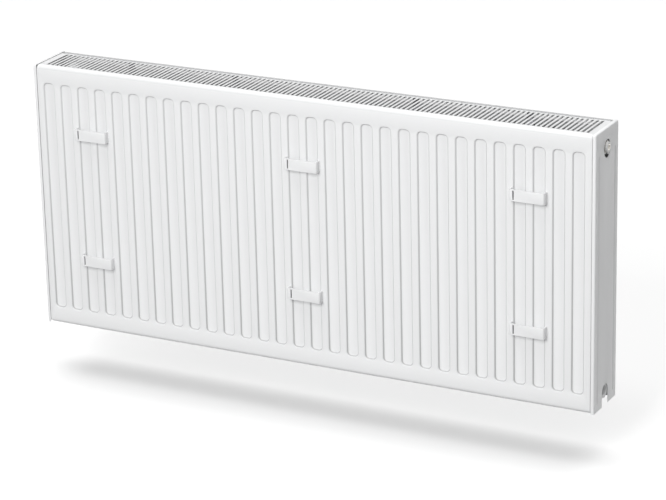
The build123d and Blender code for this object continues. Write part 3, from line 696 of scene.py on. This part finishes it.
bm = bmesh.new()
rows = [(-547.0, 10.12), (-547.0, fluted(11.95, 0.6)), (-547.3, fluted(12.3, 0.75))]
for x in (-548.0, -551.0, -554.0, -557.0, -558.6):
    rows.append((x, fluted(12.4, 0.8)))
rows += [(-559.4, fluted(12.4, 0.55)), (-560.2, fluted(12.4, 0.2)), (-561.0, 12.4)]
for k in range(1, 8):
    a = math.radians(90.0 * k / 7)
    rows.append((-561.0 - 2.0 * math.sin(a), 10.4 + 2.0 * math.cos(a)))
rows += [(-563.0, 7.9), (-562.75, 7.4), (-562.6, 6.8), (-562.6, 0.02)]
rings_x(bm, rows + [(-559.3, 0.02), (-559.3, 10.08), (-547.4, 10.08)], C_UP, closed=True, n=288)
piece("valve_cap_moulding", bm, "grey_plastic", "valve_cap", ("valve_cap",), angle=45.0)


# ------------------------------------------------------------------ welds on the corner fittings
for name, x, z in (("lower_left", -HUB_X, Z_BOT), ("lower_right", HUB_X, Z_BOT), ("upper_left", -HUB_X, Z_TOP),
                   ("upper_right", HUB_X, Z_TOP)):
    bm = bmesh.new()
    for y in (-33.4, 45.4):
        n, m = 96, 8
        ring_rows = []
        for i in range(n):
            a = 2 * math.pi * i / n
            q = 0.9 + 0.12 * math.sin(a * 40)
            ring_rows.append([bm.verts.new((x + (15.1 + q * math.cos(b)) * math.cos(a), y + q * math.sin(b),
                                            z + (15.1 + q * math.cos(b)) * math.sin(a)))
                              for b in [2 * math.pi * k / m for k in range(m)]])
        for i in range(n):
            a_, b_ = ring_rows[i], ring_rows[(i + 1) % n]
            for k in range(m):
                bm.faces.new((a_[k], a_[(k + 1) % m], b_[(k + 1) % m], b_[k]))
    for v in bm.verts:
        v.co.z = max(0.5, v.co.z)
    piece(name + "_fitting_welds", bm, "white_inner_coat", "radiator", angle=70.0)

# ------------------------------------------------------------------ CAD nodes that stay in view
stay = {
    "wall_panel_inner_sheet": "white_inner_coat", "room_panel_inner_sheet": "white_inner_coat",
    "lower_right_tee": "white_inner_coat", "vent_tee": "white_inner_coat", "return_tee": "white_inner_coat",
    "return_nipple": "white_inner_coat", "valve_housing": "white_inner_coat", "valve_riser_pipe": "white_inner_coat",
    "supply_nipple": "white_inner_coat", "nipple_bracket": "white_inner_coat", "grille_clips": "spring_steel",
    "vent_plug_seal": "rubber", "blank_plug_seal": "rubber", "valve_insert_seal": "rubber",
    "vent_screw": "nickel_plate", "valve_insert_body": "nickel_plate", "valve_gland": "brass",
    "valve_spindle": "stainless", "valve_disc": "rubber", "valve_spring": "spring_steel",
}
for n, material in stay.items():
    if n not in nodes: continue
    ob = nodes[n]
    ob.data.materials.clear()
    # inner sheets get the grey painted-shade tone
    ob.data.materials.append(MATS["shaded_inner_coat" if n.endswith("inner_sheet") else material])
for n, w in (("vent_screw", 0.22), ("valve_insert_body", 0.35), ("valve_housing", 0.5), ("supply_nipple", 0.4),
             ("nipple_bracket", 0.4), ("grille_clips", 0.2)):
    b = nodes[n].modifiers.new("edges", "BEVEL")
    b.width = w * S
    b.segments = 2
    b.limit_method = "ANGLE"
    b.angle_limit = math.radians(50)

# ------------------------------------------------------------------ stage, light, camera
FLOOR_Z = -0.10
bm = bmesh.new()
bmesh.ops.create_grid(bm, x_segments=2, y_segments=2, size=30.0)
me = bpy.data.meshes.new("floor")
bm.to_mesh(me)
bm.free()
floor = bpy.data.objects.new("floor", me)
floor.location = (0, 0, FLOOR_Z)
bpy.context.scene.collection.objects.link(floor)
fm = finish_material("floor_paint", (0.965, 0.965, 0.965), 0.9, strength=0.02, tint=0.002, grain=40.0)
me.materials.append(fm)
lit = [n for n in fm.node_tree.nodes if n.type == "BSDF_PRINCIPLED"][0]
lit.inputs["Emission Color"].default_value = (1, 1, 1, 1)
lit.inputs["Emission Strength"].default_value = 0.035
floor.visible_diffuse = False

world = bpy.data.worlds.new("studio")
bpy.context.scene.world = world
world.use_nodes = True
world.node_tree.nodes["Background"].inputs["Color"].default_value = (1, 1, 1, 1)
wt = world.node_tree
wco = node(wt, "ShaderNodeTexCoord")
wse = node(wt, "ShaderNodeSeparateXYZ")
wmr = node(wt, "ShaderNodeMapRange")
wmr.inputs["From Min"].default_value = -1.0
wmr.inputs["From Max"].default_value = 1.0
wmr.inputs["To Min"].default_value = 0.27
wmr.inputs["To Max"].default_value = 0.475
wt.links.new(wco.outputs["Generated"], wse.inputs["Vector"])
wt.links.new(wse.outputs["Z"], wmr.inputs["Value"])
wt.links.new(wmr.outputs["Result"], wt.nodes["Background"].inputs["Strength"])


def area(name, loc, target, size, power):
    d = bpy.data.lights.new(name, "AREA")
    d.shape = "SQUARE"
    d.size = size
    d.energy = power
    o = bpy.data.objects.new(name, d)
    o.location = loc
    o.rotation_euler = (Vector(target) - Vector(loc)).to_track_quat("-Z", "Y").to_euler()
    bpy.context.scene.collection.objects.link(o)
    return o


sky = bpy.data.lights.new("overhead", "SUN")
sky.energy = 1.66
sky.angle = math.radians(66)
sky_ob = bpy.data.objects.new("overhead", sky)
sky_ob.rotation_euler = (math.radians(-3), math.radians(-3), 0)
bpy.context.scene.collection.objects.link(sky_ob)
area("front", (0.1, -3.0, 1.9), (0.0, 0.0, 0.25), 1.5, 68.0)

cam_data = bpy.data.cameras.new("camera")
cam = bpy.data.objects.new("camera", cam_data)
bpy.context.scene.collection.objects.link(cam)
cam_data.lens = 155.30
cam_data.sensor_width = 36.0
cam_data.sensor_fit = "HORIZONTAL"
cam_data.clip_end = 100.0
yaw, pitch, roll = math.radians(27.58), math.radians(19.72), math.radians(-1.36)
fwd = Vector((-math.sin(yaw) * math.cos(pitch), math.cos(yaw) * math.cos(pitch), -math.sin(pitch)))
right = Vector((0.889799, 0.455808, -0.022298))
right = (right - fwd * right.dot(fwd)).normalized()
up = right.cross(fwd).normalized()
from mathutils import Matrix
rot = Matrix((right, up, -fwd)).transposed()
cam.matrix_world = Matrix.Translation((2.2538, -4.2527, 1.9306)) @ rot.to_4x4()
bpy.context.scene.camera = cam
bpy.context.scene.view_settings.view_transform = "Standard"
bpy.context.scene.view_settings.look = "None"
